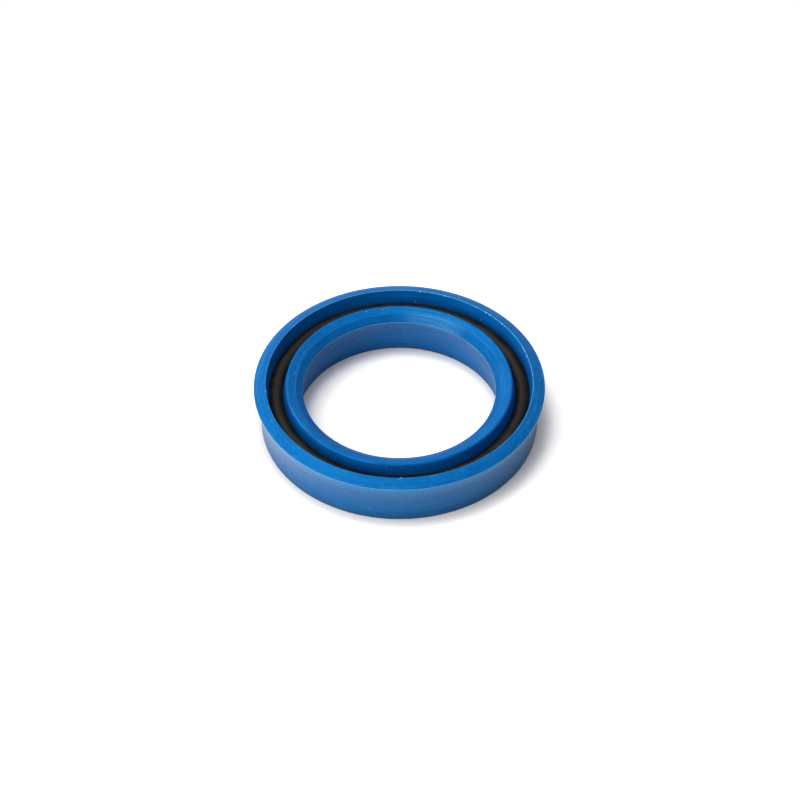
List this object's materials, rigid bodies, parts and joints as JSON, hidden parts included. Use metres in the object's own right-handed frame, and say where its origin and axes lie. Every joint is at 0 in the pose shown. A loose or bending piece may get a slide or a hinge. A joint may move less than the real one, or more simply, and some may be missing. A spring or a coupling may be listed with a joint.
{
  "type": "rod seal",
  "caption": "Loaded-lip rod seal: a U-section ring with flared lips around a rod, and a round rubber ring in the groove that spreads them.",
  "frame": {"origin": "centre of the heel's flat face, which the seal stands on", "axes": "+Z along the rod's axis, from the heel towards the lips; +X and +Y are any two directions across it"},
  "size_m": [0.0462, 0.0462, 0.0084],
  "materials": {
    "polyurethane": "satin",
    "nitrile_rubber": "matte"
  },
  "bodies": {
    "root": {"u_cup": "polyurethane", "o_ring": "nitrile_rubber"}
  },
  "joints": []
}
